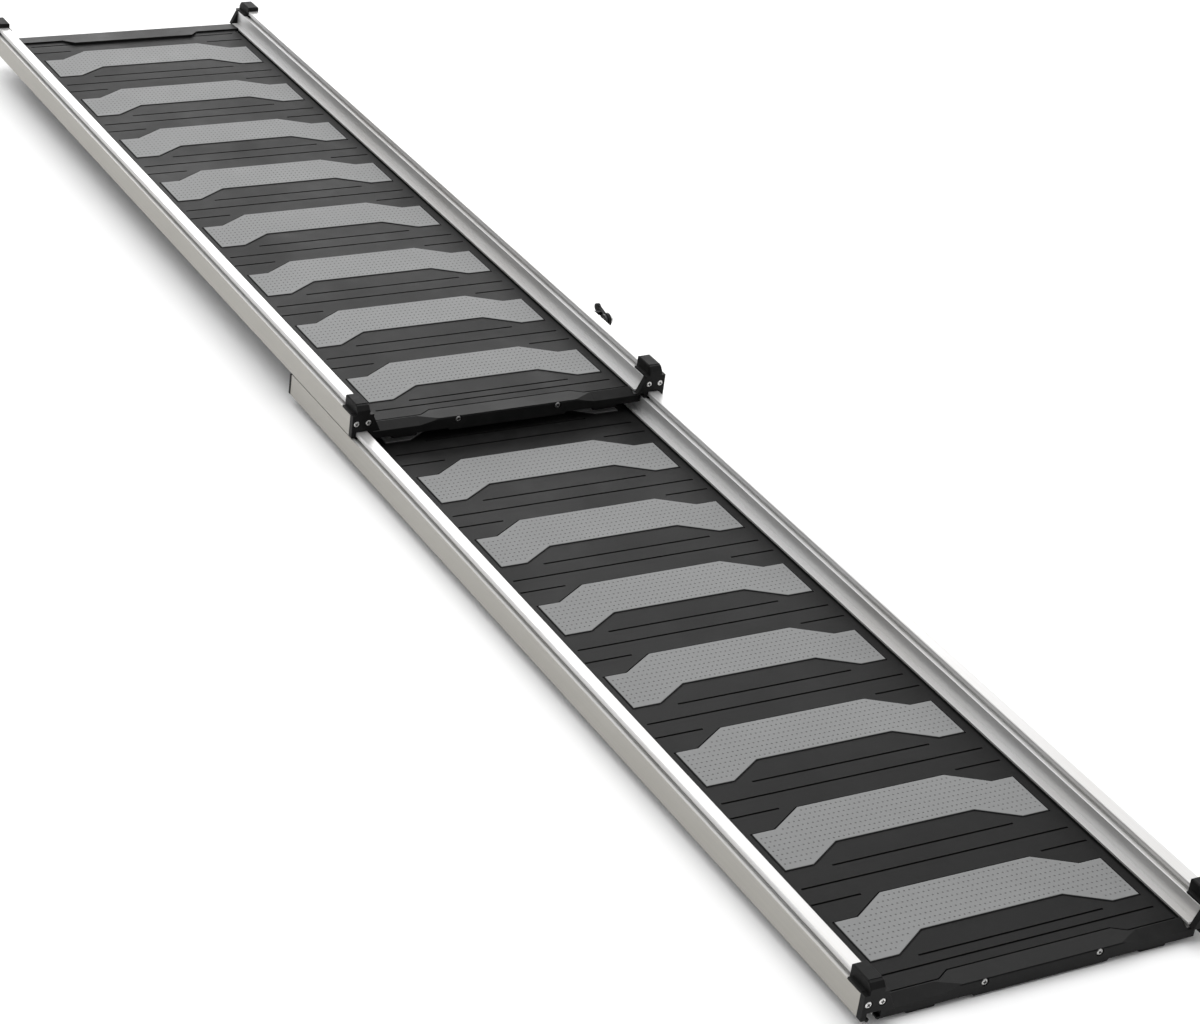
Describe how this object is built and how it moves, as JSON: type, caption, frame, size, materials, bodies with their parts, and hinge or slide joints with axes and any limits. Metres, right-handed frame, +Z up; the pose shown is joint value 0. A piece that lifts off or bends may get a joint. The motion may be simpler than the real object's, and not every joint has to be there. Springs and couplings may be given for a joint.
{
  "type": "dog ramp",
  "caption": "Long telescoping dog ramp: black moulded treads with grey soft-grip arches between aluminium side rails, rubber bumpers at the corners and a side latch.",
  "frame": {"origin": "on the floor, under the middle of the ramp when it is fully extended", "axes": "+X to the right across the ramp, +Y from the lower end towards the upper end, +Z up"},
  "size_m": [0.4125, 2.2644, 0.0779],
  "materials": {
    "rail_aluminium": "satin anodised extrusion",
    "deck_plastic": "fine moulded grain",
    "grip_rubber": "soft, dimpled",
    "strip_plastic": "fine moulded grain",
    "cap_plastic": "moulded",
    "bumper_rubber": "soft matte",
    "foot_rubber": "soft matte",
    "screw_steel": "zinc plated",
    "stop_plastic": "machined",
    "latch_plastic": "moulded",
    "bracket_paint": "black powder coat",
    "pin_steel": "plated"
  },
  "bodies": {
    "base": {"lower_block_foot_left": "bumper_rubber", "lower_block_foot_right": "bumper_rubber", "lower_cap_foot_left": "cap_plastic", "lower_cap_foot_right": "cap_plastic", "lower_cap_head_left": "cap_plastic", "lower_cap_head_right": "cap_plastic", "lower_cap_screws": "screw_steel", "lower_deck": "deck_plastic", "lower_feet": "foot_rubber", "lower_grip_1": "grip_rubber", "lower_grip_2": "grip_rubber", "lower_grip_3": "grip_rubber", "lower_grip_4": "grip_rubber", "lower_grip_5": "grip_rubber", "lower_grip_6": "grip_rubber", "lower_grip_7": "grip_rubber", "lower_grip_8": "grip_rubber", "lower_rail_left": "rail_aluminium", "lower_rail_right": "rail_aluminium", "lower_stop_screws": "screw_steel", "lower_strip_foot": "strip_plastic", "lower_strip_head": "strip_plastic", "lower_strip_screws": "screw_steel", "latch_bracket": "bracket_paint", "latch_pin": "pin_steel", "latch_washer": "pin_steel", "latch_screws": "screw_steel"},
    "slider": {"upper_block_foot_left": "bumper_rubber", "upper_block_foot_right": "bumper_rubber", "upper_block_head_left": "bumper_rubber", "upper_block_head_right": "bumper_rubber", "upper_cap_foot_left": "cap_plastic", "upper_cap_foot_right": "cap_plastic", "upper_cap_head_left": "cap_plastic", "upper_cap_head_right": "cap_plastic", "upper_cap_screws": "screw_steel", "upper_deck": "deck_plastic", "upper_feet": "foot_rubber", "upper_grip_1": "grip_rubber", "upper_grip_2": "grip_rubber", "upper_grip_3": "grip_rubber", "upper_grip_4": "grip_rubber", "upper_grip_5": "grip_rubber", "upper_grip_6": "grip_rubber", "upper_grip_7": "grip_rubber", "upper_grip_8": "grip_rubber", "upper_rail_left": "rail_aluminium", "upper_rail_right": "rail_aluminium", "upper_stop_left": "stop_plastic", "upper_stop_right": "stop_plastic", "upper_strip_foot": "strip_plastic", "upper_strip_head": "strip_plastic", "upper_strip_screws": "screw_steel"},
    "lever": {"latch_lever": "latch_plastic"}
  },
  "joints": [
    {"name": "section_slide", "type": "slide", "parent": "base", "child": "slider", "axis": [0, 1, 0], "range_m": [-1.014, 0]},
    {"name": "latch_lever", "type": "hinge", "parent": "base", "child": "lever", "pos_m": [0.2069, 0.067, 0.064], "axis": [1, 0, 0], "range_deg": [-20, 0]}
  ]
}
